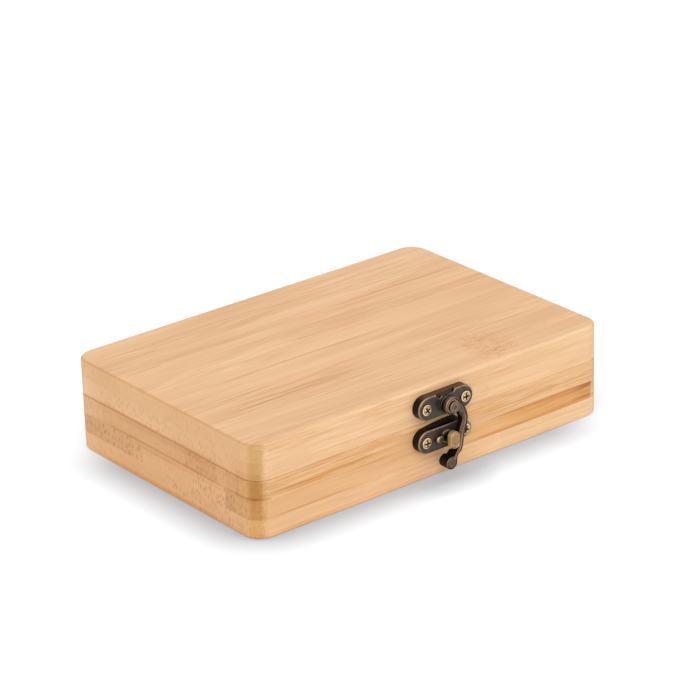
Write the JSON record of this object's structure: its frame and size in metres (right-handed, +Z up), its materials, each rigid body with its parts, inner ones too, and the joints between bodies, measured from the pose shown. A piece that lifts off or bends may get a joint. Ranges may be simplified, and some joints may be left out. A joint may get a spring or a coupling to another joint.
{
  "type": "brush box with hinged lid",
  "caption": "Laminated bamboo box for brushes and drawing tools, with rounded corners, a lid on butt hinges and an antique bronze swing latch on the front.",
  "frame": {"origin": "middle of the box's underside", "axes": "+X along the front to the right, +Y back towards the hinges, +Z up"},
  "size_m": [0.18, 0.1331, 0.04],
  "materials": {
    "bamboo": "satin clear lacquer",
    "antique_bronze": "dark antique finish, worn to brass on the edges",
    "hinge_bronze": "dark antique finish",
    "screw_brass": "brass, dark in the cross recess"
  },
  "bodies": {
    "base": {"base_floor_board": "bamboo", "base_lower_frame": "bamboo", "base_upper_frame": "bamboo", "hinge_left_base_leaf": "hinge_bronze", "hinge_right_base_leaf": "hinge_bronze", "hinge_left_pin": "hinge_bronze", "hinge_right_pin": "hinge_bronze", "hinge_base_screws": "screw_brass", "latch_keeper_plate": "antique_bronze", "latch_keeper_stud": "antique_bronze", "latch_base_screws": "screw_brass"},
    "lid": {"lid_frame": "bamboo", "lid_top_board": "bamboo", "hinge_left_lid_leaf": "hinge_bronze", "hinge_right_lid_leaf": "hinge_bronze", "hinge_lid_screws": "screw_brass", "latch_lid_plate": "antique_bronze", "latch_rivet": "antique_bronze", "latch_lid_screws": "screw_brass"},
    "arm": {"latch_arm": "antique_bronze"}
  },
  "joints": [
    {"name": "lid_hinge", "type": "hinge", "parent": "base", "child": "lid", "pos_m": [0, 0.06175, 0.0246], "axis": [-1, 0, 0], "range_deg": [0, 180]},
    {"name": "latch_swing", "type": "hinge", "parent": "lid", "child": "arm", "pos_m": [0.0019, -0.06, 0.03215], "axis": [0, -1, 0], "range_deg": [0, 110]}
  ]
}
